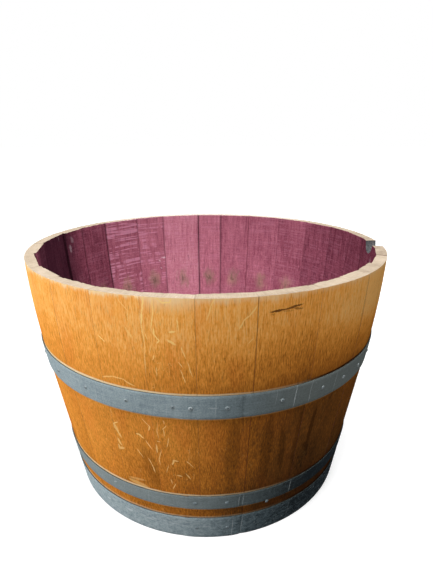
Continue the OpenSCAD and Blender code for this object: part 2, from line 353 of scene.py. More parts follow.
def set_attribute(mesh, name, *parts):
    """Gives each point three numbers. A part is one number for all the points, or one for each."""
    values = np.zeros((len(mesh.vertices), 3), np.float32)
    for column, part in enumerate(parts):
        values[:, column] = part
    mesh.attributes.new(name, "FLOAT_VECTOR", "POINT").data.foreach_set("vector", values.ravel())


def smooth(value, low, high):
    share = min(1.0, max(0.0, (value - low) / (high - low)))
    return share * share * (3 - 2 * share)


def ripple(x, y, z):
    """Smooth noise from -1 to 1, the same on each run."""
    return noise.noise(Vector((x, y, z)))


# ---- Material tools ----
# A place on the barrel is written as (angle in degrees, height in mm). The shaders measure it on
# a sheet whose width is the angle times this radius.
SHEET_R = 0.33


def across_sheet(angle):
    return math.radians(angle) * SHEET_R


def within(lines, angles):
    """The marks of a list that start between two angles."""
    return [line for line in lines if angles[0] <= line[0][0] < angles[1]]


def add_node(tree, kind, inputs, **settings):
    """Adds a shader node. An input is a number, a colour or another node's output."""
    node = tree.nodes.new("ShaderNode" + kind)
    for name, value in settings.items():
        setattr(node, name, value)
    for name, value in inputs.items():
        if isinstance(value, bpy.types.NodeSocket):
            tree.links.new(value, node.inputs[name])
        else:
            node.inputs[name].default_value = value
    return node


class Shader:
    """Builds one node material."""

    def __init__(self, name):
        self.material = bpy.data.materials.new(name)
        self.material.use_nodes = True
        self.tree = self.material.node_tree
        self.tree.nodes.clear()
        self.tint = None

    def node(self, kind, inputs, **settings):
        return add_node(self.tree, kind, inputs, **settings)

    def coordinates(self, kind="Object"):
        return self.node("TexCoord", {}).outputs[kind]

    def attribute(self, name):
        return self.node("Attribute", {}, attribute_name=name).outputs["Vector"]

    def parts(self, vector):
        return self.node("SeparateXYZ", {0: vector}).outputs[:]

    def values(self, name):
        """The three numbers of an attribute."""
        return self.parts(self.attribute(name))

    def join(self, x, y, z=0.0):
        return self.node("CombineXYZ", {0: x, 1: y, 2: z}).outputs[0]

    def math(self, operation, *values, clamp=False):
        node = self.node("Math", dict(enumerate(values)), operation=operation, use_clamp=clamp)
        return node.outputs[0]

    def chain(self, operation, values):
        return reduce(lambda a, b: self.math(operation, a, b), values)

    def times(self, *values):
        return self.chain("MULTIPLY", values)

    def add(self, *values):
        """Adds up. Values in a bracket stand for their product."""
        return self.chain("ADD", [self.times(*value) if isinstance(value, tuple) else value
                                  for value in values])

    def centred(self, value):
        """Noise that goes from -0.5 to 0.5."""
        return self.math("SUBTRACT", value, 0.5)

    def vector(self, operation, *values):
        node = self.node("VectorMath", dict(enumerate(values)), operation=operation)
        return node.outputs["Value" if operation == "LENGTH" else "Vector"]

    def noise(self, where, stretch, detail=2, roughness=0.5, warp=0.0):
        """Noise from 0 to 1 whose cells are 1 over stretch metres long on each axis."""
        return self.node("TexNoise", {
            "Vector": self.vector("MULTIPLY", where, stretch), "Scale": 1.0,
            "Detail": detail, "Roughness": roughness, "Distortion": warp}).outputs["Fac"]

    def fade(self, value, low, high, start=0.0, end=1.0):
        """Goes smoothly from start to end as value goes from low to high, or down to high."""
        if low > high:
            low, high, start, end = high, low, end, start
        return self.node("MapRange", {
            "Value": value, "From Min": low, "From Max": high, "To Min": start, "To Max": end},
            interpolation_type="SMOOTHSTEP").outputs["Result"]

    def turn(self, way, first, last, start=0.0, end=1.0):
        """Fades from one angle to another; way is the distance across the sheet."""
        return self.fade(way, across_sheet(first), across_sheet(last), start, end)

    def arc(self, way, first, full, ebb, last):
        """Comes up between two angles and goes down between two others."""
        return self.times(self.turn(way, first, full), self.turn(way, last, ebb))

    def ramp(self, value, *stops):
        """A colour that goes with a value. A stop is the value and the colour there."""
        node = self.node("ValToRGB", {"Fac": value})
        elements = node.color_ramp.elements
        while len(elements) < len(stops):
            elements.new(1.0)
        for element, (position, *tint) in zip(elements, stops):
            element.position = position
            element.color = colour(*tint)
        return node.outputs["Color"]

    def lay(self, over, *shares):
        """Lays a colour over the tint so far, as far as the product of the shares says."""
        if isinstance(over, tuple):
            over = colour(*over)
        mix = self.node("Mix", {0: self.times(*shares), 6: self.tint, 7: over}, data_type="RGBA")
        self.tint = mix.outputs[2]

    def marks(self, sheet, lines, meander, ragged):
        """How strongly a list of marks shows. Each is its points, its width in mm and its strength:
        spindles from point to point, which meander and are ragged by so many mm."""
        if not lines:
            return 0.0
        slow = self.centred(self.noise(sheet, (60, 34, 1), 1))
        fast = self.times(self.centred(self.noise(sheet, (420, 260, 1))), 6 * ragged * MM)
        drift = self.join(self.add(self.times(slow, 8 * meander * MM), fast), fast)
        moved = self.vector("ADD", sheet, drift)
        spindles = []
        for *points, width, strength in lines:
            half = width * MM / 2
            points = [Vector((across_sheet(angle), height * MM, 0)) for angle, height in points]
            for start, end in zip(points, points[1:]):
                way = end - start
                laid = self.node("Mapping", {
                    "Vector": moved, "Location": (start + end) / 2,
                    "Rotation": (0, 0, math.atan2(way.y, way.x)),
                    "Scale": (way.length / 2 + half, half, 1)}, vector_type="TEXTURE")
                away = self.vector("LENGTH", laid.outputs["Vector"])
                spindles.append(self.fade(away, 0.75, 1.35, strength, 0.0))
        return self.chain("MAXIMUM", spindles)

    def finish(self, relief, depth, strength, roughness, gloss=0.0, metal=0.0):
        """Puts the tint, the relief and the sheen on the surface."""
        bump = self.node("Bump", {"Strength": strength, "Distance": depth, "Height": relief})
        surface = self.node("BsdfPrincipled", {
            "Base Color": self.tint, "Metallic": metal, "Roughness": roughness,
            "Specular IOR Level": gloss, "Normal": bump.outputs["Normal"]})
        self.node("OutputMaterial", {"Surface": surface.outputs[0]})
        return self.material


# ---- Oak ----
# Pale marks: ray flecks and chips that stand out, and scratches in the varnish
PALE_MARKS = [
    ((-117.4, 399), (-116.2, 393), 2.2, 0.8), ((-110.4, 461), (-108.7, 446), (-108.6, 428), 1.2, 0.4),
    ((-109.5, 420), (-108.4, 408), 3.5, 0.3),
    ((-118.4, 328), (-115.1, 334), (-112.1, 333), (-109.5, 325), 2.2, 0.45),
    ((-118.4, 237), (-116.8, 243), 1.6, 0.65), ((-118.3, 236), (-117.5, 222), 6.5, 0.36),
    ((-117.9, 226), (-116.8, 213), 4.2, 0.46), ((-117.9, 205), (-117.1, 195), 4.0, 0.44),
    ((-118.3, 191), (-118.0, 185), (-116.8, 188), 5.0, 0.4),
    ((-110.6, 229), (-109.9, 229), (-109.1, 223), 2.4, 0.65),
    ((-108.2, 262), (-106.8, 253), (-106.3, 248), 1.5, 0.55), ((-106.4, 250), (-106.9, 242), 1.8, 0.65),
    ((-108.3, 218), (-106.8, 203), 1.8, 0.6), ((-111.5, 195), (-110.0, 180), 1.7, 0.6),
    ((-108.2, 179), (-107.8, 168), (-106.9, 151), 1.6, 0.6), ((-116.3, 121), (-111.6, 124), 5.0, 0.24),
    ((-116.3, 115), (-111.2, 110), 8.0, 0.3), ((-104.6, 467), (-104.8, 447), (-105.2, 430), 1.9, 0.8),
    ((-105.2, 440), (-105.2, 354), 1.4, 0.5), ((-102.5, 464), (-103.0, 425), 1.4, 0.65),
    ((-102.6, 423), (-102.6, 415), (-101.5, 406), (-102.1, 402), 1.6, 0.8),
    ((-104.6, 414), (-104.3, 407), 1.3, 0.65), ((-103.6, 401), (-104.0, 383), 1.1, 0.45),
    ((-103.0, 382), (-103.2, 375), 1.2, 0.55), ((-102.5, 362), (-102.7, 349), 1.2, 0.55),
    ((-97.0, 442), (-96.9, 424), 1.4, 0.6), ((-98.5, 420), (-97.9, 421), 3.0, 0.6),
    ((-99.1, 407), (-98.0, 402), 3.2, 0.55), ((-96.3, 397), (-95.4, 380), 1.2, 0.6),
    ((-97.0, 373), (-96.4, 366), 1.3, 0.55), ((-97.0, 361), (-95.7, 341), 1.3, 0.6),
    ((-95.1, 374), (-94.0, 352), 1.2, 0.55),
    ((-101.4, 468), (-100.2, 462), (-98.5, 463), (-98.1, 468), 1.8, 0.65),
    ((-104.0, 258), (-104.4, 229), 1.3, 0.4), ((-102.2, 266), (-102.1, 260), 1.5, 0.5),
    ((-101.6, 256), (-102.6, 249), (-102.5, 235), 1.4, 0.55), ((-105.0, 222), (-104.2, 221), 1.6, 0.55),
    ((-105.2, 213), (-105.2, 198), 2.2, 0.55), ((-103.9, 204), (-104.8, 172), 1.3, 0.55),
    ((-101.5, 230), (-102.4, 213), 1.5, 0.6), ((-102.5, 172), (-103.3, 155), 1.3, 0.5),
    ((-100.9, 175), (-100.4, 184), (-99.6, 183), 2.6, 0.55), ((-96.3, 184), (-95.0, 173), 1.5, 0.55),
    ((-96.9, 156), (-95.7, 145), 1.5, 0.55), ((-99.6, 151), (-98.5, 150), 3.2, 0.45),
    ((-102.0, 139), (-101.6, 130), 1.8, 0.55), ((-100.5, 130), (-101.5, 118), 1.5, 0.55),
    ((-88.6, 469), (-89.5, 459), (-90.4, 441), 1.8, 0.5), ((-79.0, 469), (-79.1, 450), 1.8, 0.6),
    ((-79.3, 456), (-80.9, 443), (-82.3, 436), (-83.2, 424), 1.8, 0.5),
    ((-79.8, 408), (-80.8, 402), 1.4, 0.45),
]
# Dark burns, dents and water stains
DARK_MARKS = [
    ((-75.8, 445.4), (-72.4, 447.2), 2.8, 0.85), ((-73.4, 446.8), (-70.2, 448.0), 2.4, 0.8),
    ((-71.0, 449.2), (-68.2, 450.6), 2.6, 0.8), ((-70.0, 446.6), (-68.2, 444.4), 3.0, 0.55),
    ((-73.0, 444.4), (-70.6, 443.6), 2.0, 0.3), ((-75.6, 442), (-75.2, 441), 2.2, 0.35),
    ((-83.5, 262), (-83.6, 126), 22.0, 0.26), ((-73.2, 250), (-73.4, 128), 20.0, 0.36),
    ((-68.8, 232), (-67.4, 150), 12.0, 0.4), ((-62.6, 262), (-62.9, 130), 14.0, 0.4),
    ((-57.6, 250), (-58.2, 176), 9.0, 0.6), ((-59.0, 178), (-58.0, 168), 12.0, 0.55),
    ((-109.0, 190), (-106.5, 128), 26.0, 0.24), ((-44.2, 455), (-44.0, 340), 7.0, 0.2),
    ((-33.6, 450), (-33.5, 330), 7.0, 0.2), ((-86.4, 380), (-86.2, 374), 1.8, 0.4),
]
# Chalky runs and drops inside
CHALK_MARKS = [
    ((161.7, 454), (161.3, 447), 6.5, 0.34), ((163.2, 437), (162.8, 427), 6.5, 0.62),
    ((170.0, 466), (169.6, 460), 5.0, 0.4), ((112.9, 358), (111.2, 357), 2.6, 0.85),
    ((114.2, 352), (113.6, 350), 2.6, 0.6), ((113.6, 331), (113.2, 329), 2.6, 0.6),
    ((-9.4, 444), (-9.9, 430), 6.0, 0.3),
]


def varnished_oak(name, angles):
    """The outside: honey-coloured varnish over fine upright grain, darker and paler by stave.
    It has the marks that lie between the two angles."""
    s = Shader(name)
    grain = s.attribute("grain")
    sheet = s.attribute("sheet")
    tone, fleck, _ = s.values("look")
    _, height, joint = s.values("spot")
    seam_share, _, _ = s.values("seam")
    way, _, _ = s.parts(sheet)
    cloud = s.noise(grain, (12, 8, 12), 4, 0.54, warp=0.4)
    streak = s.noise(grain, (110, 4, 110), 3, 0.6, warp=0.3)
    line = s.noise(grain, (720, 28, 720), 1)
    fibre = s.noise(grain, (640, 210, 640), 1)
    # masks of painted light and shade: the side that faces right, its far part, part of the front, and
    # the lit part
    shaded = s.arc(way, -104, -56, 40, 110)
    far = s.times(shaded, s.turn(way, -66, -38))
    front_shade = s.arc(way, -98, -86, -56, -48)
    lit = s.arc(way, -124, -114, -95, -90)
    # the grain is calmer low down; the wood is paler towards the saw cut and browner low down
    figure = s.add((streak, 0.08), (line, 0.84), (fibre, 0.44), -0.68)
    calm = s.add(1.0, (s.fade(height, 0.42, 0.3), s.add((shaded, -0.22), -0.36)))
    # painted shade on the right side and part of the front; painted light high and painted shade low on
    # the far and lit parts
    value = s.add(
        (tone, 0.62), (cloud, 0.34), (figure, calm), s.fade(height, 0.33, 0.43, 0.0, 0.19),
        s.fade(height, 0.08, 0.24, 0.0, 0.09), s.fade(height, 0.34, 0.2, 0.0, -0.03),
        (shaded, s.add(s.fade(height, 0.43, 0.34, 0.0, -0.11), s.fade(height, 0.33, 0.24, 0.0, -0.2),
                       s.fade(height, 0.13, 0.04, 0.0, -0.04))),
        (far, s.add(s.fade(height, 0.34, 0.43, 0.0, 0.25), s.fade(height, 0.05, 0.24, -0.17, -0.03))),
        (front_shade, s.fade(height, 0.43, 0.37, 0.0, -0.06)),
        (lit, s.add(s.fade(height, 0.36, 0.43, 0.0, 0.04), s.fade(height, 0.21, 0.15, 0.0, -0.045))))
    s.tint = s.ramp(value, (0.0, 50, 36, 24), (0.24, 126, 78, 35), (0.42, 187, 114, 42),
                    (0.6, 227, 147, 59), (0.78, 247, 168, 78), (0.96, 252, 190, 110))
    rosy = s.fade(s.noise(grain, (26, 7, 26)), 0.46, 0.66)
    s.lay((222, 118, 48), rosy, s.add(0.22, (shaded, -0.18)))
    pores = s.fade(s.noise(grain, (1300, 34, 1300), 1), 0.58, 0.72)
    s.lay((104, 58, 22), pores, 0.3)
    # ray flecks: thin wavy pale bands where a noise is level
    level = s.noise(grain, (120, 20, 120), 1, warp=1.0)
    band = s.fade(s.math("ABSOLUTE", s.centred(level)), 0.011, 0.002)
    broken = s.fade(s.noise(grain, (50, 16, 50), 1), 0.5, 0.64)
    s.lay((252, 196, 112), band, broken, fleck, 0.6)
    # bleached streaks and dust under the saw cut
    frayed = s.add(height, (s.noise(grain, (170, 20, 170), 3, 0.7), 0.026), (cloud, 0.016), 0.005)
    splintered = s.arc(way, -152, -143, -107, -103)
    bare = s.fade(s.add(frayed, (splintered, -0.0035)), HEIGHT + 0.015, HEIGHT + 0.027)
    bare = s.math("MULTIPLY", bare, s.add(1.0, (splintered, 0.8)), clamp=True)
    s.lay((242, 208, 160), bare, s.add(0.78, (shaded, -0.33), (splintered, 0.14)))
    dusty = s.times(s.arc(way, -106, -103, -95, -91), s.fade(height, HEIGHT - 0.026, HEIGHT - 0.004))
    s.lay((255, 216, 160), dusty, 0.55)
    # at each hoop a pale line above its top edge on the light side, a painted shadow along that edge
    # and a band of grime, deepened by painted shade, above it on the shaded side; rubbed wood below it
    wavy = s.add(height, (s.centred(cloud), 0.004))
    rubbed = s.add(wavy, s.turn(way, -126, -104, -0.0012, 0.0))
    for hoop, bright in zip(HOOPS, (0.95, 0.85, 0.35)):
        low, high = (corner.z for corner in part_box(hoop))
        past = s.fade(wavy, high - 0.002, high)
        over = s.times(past, s.fade(rubbed, high + 0.0034, high + 0.0014))
        s.lay((252, 226, 182), over, s.add(bright, (shaded, -0.84 * bright)))
        # painted shadow: a dark line along the top edge of the hoop on the shaded side
        gap_shadow = s.times(past, s.fade(wavy, high + 0.0046, high + 0.0022), s.turn(way, -70, -56), shaded)
        s.lay((40, 24, 14), gap_shadow, 0.95)
        # grime above the hoop, with painted shade added on the shaded side
        grime_and_shade = s.times(s.fade(wavy, high + 0.026, high), s.fade(wavy, high - 0.001, high))
        s.lay((84, 44, 16), grime_and_shade, s.add(0.08, (shaded, 0.3)))
        under = s.times(s.fade(wavy, low - 0.0055, low - 0.003), s.fade(wavy, low + 0.002, low))
        s.lay((238, 190, 130), under, s.add(0.5, (shaded, -0.25)))
    seam = s.times(s.fade(joint, 0.0012, 0.0002), seam_share)
    s.lay((66, 34, 14), seam, 0.7)
    s.lay((62, 34, 16), s.marks(sheet, within(DARK_MARKS, angles), 0.6, 0.7))
    pale = s.marks(sheet, within(PALE_MARKS, angles), 1.0, 0.35)
    s.lay((255, 213, 134), s.math("MULTIPLY", pale, 1.5, clamp=True))
    relief = s.add((streak, 0.5), (line, 0.35), (pores, -0.35))
    return s.finish(relief, 0.0005, 0.55, s.add(0.34, (cloud, 0.16), (bare, 0.3), (pores, 0.1)))


def stained_oak():
    """The inside: wine-stained, with upright grain, scraped bands and iron stains at the nails."""
    s = Shader("wine_stained_oak")
    grain = s.attribute("grain")
    sheet = s.attribute("sheet")
    _, _, tone = s.values("look")
    scrape_share, _, _ = s.values("rim")
    across, height, joint = s.values("spot")
    _, seam_share, _ = s.values("seam")
    way, _, _ = s.parts(sheet)
    cloud = s.noise(grain, (16, 11, 16), 4, 0.62)
    streak = s.noise(grain, (140, 6, 140), 3, 0.6, warp=0.3)
    line = s.noise(grain, (420, 18, 420))
    cross = s.noise(grain, (90, 340, 90), 3, 0.7)
    fibre = s.noise(grain, (520, 420, 520), 2, 0.6)
    value = s.add((tone, 0.7), (cloud, 0.26), (streak, 0.24), (line, 0.34), (cross, 0.26),
                  (fibre, 0.36), -0.56)
    s.tint = s.ramp(value, (0.06, 48, 22, 36), (0.3, 112, 54, 72), (0.5, 162, 91, 110),
                    (0.7, 200, 124, 143), (0.92, 224, 160, 174))
    # scrapes across the grain, where crystals of the wine still sit
    rungs = s.fade(s.noise(grain, (11, 230, 11), 2, 0.55), 0.5, 0.58)
    patchy = s.fade(s.noise(grain, (70, 16, 70), 1), 0.36, 0.54)
    scraped = s.times(rungs, patchy, scrape_share)
    s.lay((224, 154, 180), scraped, 0.8)
    checks = s.fade(s.noise(grain, (300, 24, 300), warp=0.6), 0.6, 0.7)
    s.lay((92, 38, 56), checks, 0.28)
    s.lay((240, 214, 222), s.marks(sheet, CHALK_MARKS, 2.0, 1.6))
    # iron of the nails has turned the tannin grey-green, in a ragged smear round a dark drop
    swirl = s.noise(grain, (75, 38, 75), 3, 0.62)
    tatter = s.noise(grain, (240, 60, 240), 3, 0.7)
    squash = 0.72
    shifted = s.join(s.add((across, 1.15), (s.centred(swirl), 0.05)),
                     s.times(s.add(height, (s.centred(cloud), 0.03)), squash))
    nail = (0.0, middle_z("bilge_hoop") * squash, 0.0)
    away = s.vector("LENGTH", s.vector("SUBTRACT", shifted, nail))
    away = s.add(away, (s.centred(tatter), 0.03))
    rust = s.ramp(s.noise(grain, (22, 22, 22)), (0.42, 134, 116, 98), (0.6, 188, 150, 130))
    s.lay(rust, s.fade(away, 0.026, 0.006), 0.6)
    s.lay((74, 66, 54), s.fade(away, 0.01, 0.0), 0.55)
    # painted shadow darkens the inside of the left wall, which faces away from the light
    deep = s.math("MAXIMUM", s.turn(way, 154, 168), s.turn(way, -160, -170))
    s.lay((40, 20, 32), deep, 0.8)
    # the deep end kept the lees, and joints are dark
    s.lay((60, 30, 42), s.fade(height, 0.2, 0.06, 0.0, 0.55))
    s.lay((74, 32, 46), s.fade(joint, 0.006, 0.0), seam_share, 0.4)
    s.lay((30, 14, 22), s.fade(joint, 0.0015, 0.0003), seam_share, 0.85)
    relief = s.add((streak, 0.5), (line, 0.35), (cloud, 0.3), (scraped, 0.3))
    return s.finish(relief, 0.0007, 0.6, s.add(0.62, (cloud, 0.2)))


def sawn_oak():
    """The saw cut and the feet: raw end grain with rings through the thickness and saw marks."""
    s = Shader("sawn_oak")
    grain = s.attribute("grain")
    _, _, tone = s.values("rim")
    _, _, seam_share = s.values("seam")
    _, height, joint = s.values("spot")
    way, _, _ = s.values("sheet")
    rings = s.noise(grain, (520, 40, 60), warp=0.25)
    rays = s.noise(grain, (110, 40, 900))
    cloud = s.noise(grain, (30, 30, 60), 4, 0.6)
    fur = s.noise(grain, (1600, 300, 1600))
    value = s.add((tone, 0.6), (rings, 0.34), (rays, 0.14), (cloud, 0.42), -0.24)
    s.tint = s.ramp(value, (0.1, 106, 92, 78), (0.34, 147, 131, 113), (0.56, 176, 160, 140),
                    (0.85, 206, 190, 171))
    s.lay((132, 110, 86), s.fade(fur, 0.56, 0.7), 0.35)
    # bleached at the back, dark in the joints and at the feet
    s.lay((224, 208, 198), s.arc(way, 36, 60, 120, 148), 0.45)
    s.lay((58, 40, 28), s.fade(joint, 0.0014, 0.0003), seam_share, 0.8)
    s.lay((96, 66, 44), s.fade(height, 0.1, 0.02), 0.6)
    relief = s.add((rings, 0.4), (fur, 0.5), (cloud, 0.4))
    return s.finish(relief, 0.0008, 0.7, 0.85, gloss=0.02)


def seared_oak():
    """The wall of the bung hole, burnt smooth with a hot iron."""
    s = Shader("seared_oak")
    where = s.coordinates()
    char = s.noise(where, (220, 220, 220), 4, 0.65)
    crack = s.noise(where, (60, 60, 900))
    s.tint = s.ramp(char, (0.3, 34, 34, 36), (0.55, 74, 74, 76), (0.75, 112, 108, 104))
    return s.finish(s.add(char, crack), 0.0006, 0.6, 0.7, gloss=0.3)


def raw_oak():
    """Plain planed oak, for the underside of the head and the walls of its holes."""
    s = Shader("raw_oak")
    grain = s.attribute("grain")
    streak = s.noise(grain, (6, 110, 110), 4, 0.6)
    line = s.noise(grain, (14, 700, 700))
    cloud = s.noise(grain, (10, 12, 12), 3)
    value = s.add((streak, 0.4), (line, 0.3), (cloud, 0.3))
    s.tint = s.ramp(value, (0.3, 120, 92, 62), (0.68, 186, 156, 116))
    return s.finish(value, 0.0006, 0.5, 0.75, gloss=0.25)


def lees_oak():
    """The upper face of the head: stained deep purple, with crystals and a tide line at its edge."""
    s = Shader("lees_stained_oak")
    grain = s.attribute("grain")
    where = s.coordinates()
    _, _, tone = s.values("look")
    _, _, joint = s.values("spot")
    streak = s.noise(grain, (5, 120, 120), 4, 0.6)
    line = s.noise(grain, (14, 650, 650))
    cloud = s.noise(where, (9, 9, 9), 4, 0.6)
    value = s.add((tone, 0.5), (streak, 0.34), (line, 0.2), (cloud, 0.4), -0.24)
    s.tint = s.ramp(value, (0.15, 58, 28, 38), (0.42, 104, 54, 68), (0.66, 146, 86, 100),
                    (0.9, 182, 126, 134))
    crystals = s.fade(s.noise(where, (160, 160, 160), 3, 0.7), 0.62, 0.74)
    patch = s.fade(s.noise(where, (7, 7, 7)), 0.5, 0.62)
    s.lay((206, 168, 176), crystals, patch, 0.6)
    s.lay((44, 22, 30), s.fade(joint, 0.0006, 0.003, 0.85, 0.0))
    x, y, _ = s.parts(where)
    radius = s.vector("LENGTH", s.join(x, y))
    tide = s.fade(s.add(radius, (cloud, 0.03)), HEAD_R - 0.03, HEAD_R + 0.01)
    s.lay((48, 26, 32), tide, 0.6)
    relief = s.add(streak, (line, 0.5), (crystals, 0.5))
    return s.finish(relief, 0.0006, 0.6, s.add(0.6, (cloud, 0.2)), gloss=0.3)


def beech():
    """The turned wood of the dowels."""
    s = Shader("beech")
    fibre = s.noise(s.coordinates(), (900, 60, 900), 3)
    s.tint = s.ramp(fibre, (0.3, 186, 150, 104), (0.7, 222, 192, 148))
    return s.finish(fibre, 0.0003, 0.4, 0.6, gloss=0.5)


# ---- Steel ----
# Scratches and wipe marks that run up a hoop: (angle, lowest mm, highest mm, strength)
HOOP_LINES = [
    (-67.1, 276, 316, 0.75), (-62.1, 276, 316, 0.35), (-88.6, 276, 315, 0.25), (-72.8, 290, 316, 0.2),
    (-52.4, 276, 315, 0.3), (-122.0, 280, 310, 0.2), (-128.6, 282, 314, 0.2), (-101.0, 276, 300, 0.15),
    (-80.8, 77, 103, 0.4), (-79.4, 77, 103, 0.35), (-62.4, 77, 103, 0.45), (-110.4, 77, 101, 0.2),
    (-82.5, 3, 49, 0.5), (-79.2, 3, 49, 0.35), (-104.0, 6, 44, 0.15), (-61.0, 4, 48, 0.15),
]
# White scuffs on a hoop
HOOP_SCUFFS = [
    ((-131.0, 28), (-129.6, 30), 4.0, 0.5), ((-120.4, 31), (-118.8, 32), 4.5, 0.55),
    ((-112.6, 29), (-109.4, 29), 3.0, 0.45), ((-110.8, 33), (-108.8, 33.5), 2.4, 0.35),
    ((-103.8, 31), (-100.6, 31), 3.0, 0.35), ((-92.4, 30), (-90.2, 31), 2.4, 0.3),
    ((-90.2, 296.6), (-88.0, 296.2), 1.6, 0.4), ((-124.0, 92), (-123.0, 95), 3.2, 0.35),
]


def galvanised():
    """Hot-dipped zinc, dulled to blue-grey, with faint spangle, scuffs and dark water runs."""
    s = Shader("galvanised_steel")
    sheet = s.attribute("sheet")
    where = s.coordinates()
    way, height, _ = s.parts(sheet)
    crystal = s.node("TexVoronoi", {"Vector": where, "Scale": 110.0})
    spangle, _, _ = s.parts(crystal.outputs["Color"])
    cloud = s.noise(where, (16, 16, 24), 4, 0.62)
    brushed = s.noise(where, (26, 26, 620), 3, 0.6)
    run = s.noise(where, (230, 230, 9), 3, 0.6)
    speck = s.noise(where, (430, 430, 520), 2, 0.6)
    mottle = s.noise(where, (130, 130, 210), 3, 0.65)
    weathered = s.fade(height, 0.062, 0.044)
    # painted shade low down on the side that faces right; the value also has painted light on the left
    low_right_shade = s.times(s.arc(way, -100, -50, 40, 110), s.fade(height, 0.22, 0.1))
    value = s.add((spangle, 0.04), (cloud, 0.1), (brushed, 0.22), (run, 0.16), (speck, 0.42),
                  (low_right_shade, -0.44), (weathered, s.add((mottle, 0.6), -0.25)),
                  s.turn(way, -100, -78, 0.12, -0.04), -0.02)
    s.tint = s.ramp(value, (0.0, 32, 38, 42), (0.26, 90, 104, 110), (0.5, 134, 149, 155),
                    (0.76, 178, 191, 195))
    # less blue on the right, and all round the quarter hoop
    right = s.times(s.arc(way, -92, -62, 40, 110), s.fade(height, 0.12, 0.2))
    quarter = s.times(s.fade(height, 0.056, 0.07), s.fade(height, 0.2, 0.15))
    greyer = s.math("MAXIMUM", s.times(right, 0.62), s.times(quarter, 0.42))
    s.lay((110, 112, 104), greyer, s.add(1.0, (low_right_shade, -1.0)))
    bloom = s.fade(s.noise(where, (150, 150, 170), 4, 0.7), 0.6, 0.74)
    patch = s.fade(s.noise(where, (12, 12, 30), 1), 0.48, 0.66)
    bloom = s.times(bloom, s.math("MAXIMUM", weathered, patch))
    s.lay((196, 206, 208), bloom, s.add(0.28, (weathered, 0.32)))
    # painted shade on the narrow ledge of the top edge, which faces up into the light
    _, _, up = s.parts(s.coordinates("Normal"))
    s.lay((70, 76, 74), s.fade(up, 0.45, 0.85), 0.75)
    lines = [((angle, low), (angle + 0.3, high), 1.2, strength)
             for angle, low, high, strength in HOOP_LINES]
    scuffs = s.marks(sheet, lines + HOOP_SCUFFS, 0.3, 0.5)
    s.lay((206, 214, 216), scuffs)
    relief = s.add((brushed, 0.4), (cloud, 0.6), (scuffs, -0.4))
    return s.finish(relief, 0.0004, 0.5, s.add(0.5, (cloud, 0.16), (bloom, 0.2)), metal=0.04)


def fastener_steel():
    """Zinc-plated nails and rivets: brighter than the hoops, with a paler worn rim on each head."""
    s = Shader("zinc_plate")
    where = s.coordinates()
    hammered = s.noise(where, (700, 700, 700))
    s.tint = s.ramp(hammered, (0.35, 66, 77, 82), (0.65, 116, 129, 134))
    away, _, _ = s.values("head")
    _, _, height = s.parts(where)
    worn = s.times(s.fade(s.noise(where, (160, 160, 160)), 0.4, 0.6, 0.35, 1.0),
                   s.fade(height, 0.12, 0.25, 0.15, 0.55))
    s.lay((196, 204, 204), s.fade(away, 0.0011, 0.0024), worn)
    return s.finish(hammered, 0.0003, 0.5, 0.45, gloss=0.05, metal=0.08)


# ---- Pieces ----
class Stave:
    """What a stave's solid says of it: its two joints, its middle and its thickness."""

    def __init__(self, number):
        self.number = number
        self.node = f"stave_{number:02d}"
        points = points_of(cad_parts[self.node].data)
        self.middle = math.atan2(points[:, 1].mean(), points[:, 0].mean())
        turn, _ = self.seen_from_middle(points)
        self.middle += (turn.min() + turn.max()) / 2
        self.half = (turn.max() - turn.min()) / 2 + SWELL / CUT_R
        self.angles = [math.degrees(self.middle + side * self.half) for side in (-1, 1)]
        _, (_, out) = self.seen_from_middle(points)
        self.thickness = CUT_R - out[points[:, 2] > HEIGHT - 0.1 * MM].min()

    def seen_from_middle(self, points):
        """Angles of points from the stave's middle, and how far across and how far out they are."""
        x, y = points[:, 0], points[:, 1]
        across = y * math.cos(self.middle) - x * math.sin(self.middle)
        out = x * math.cos(self.middle) + y * math.sin(self.middle)
        return np.arctan2(across, out), (across, out)

    def of(self, values):
        return values[self.number - 1]


def stave_heights():
    """Steps along a stave: close where the inside has a corner, and close under the saw cut."""
    low = sorted(set(PROFILE_Z[:-1]) | set(EXTRA_HEIGHTS))
    middle = between(CORE_Z, HEIGHT - UNDER_CUT[0], STAVE_STEPS)[1:]
    return low + middle + [HEIGHT - down for down in UNDER_CUT] + [HEIGHT]


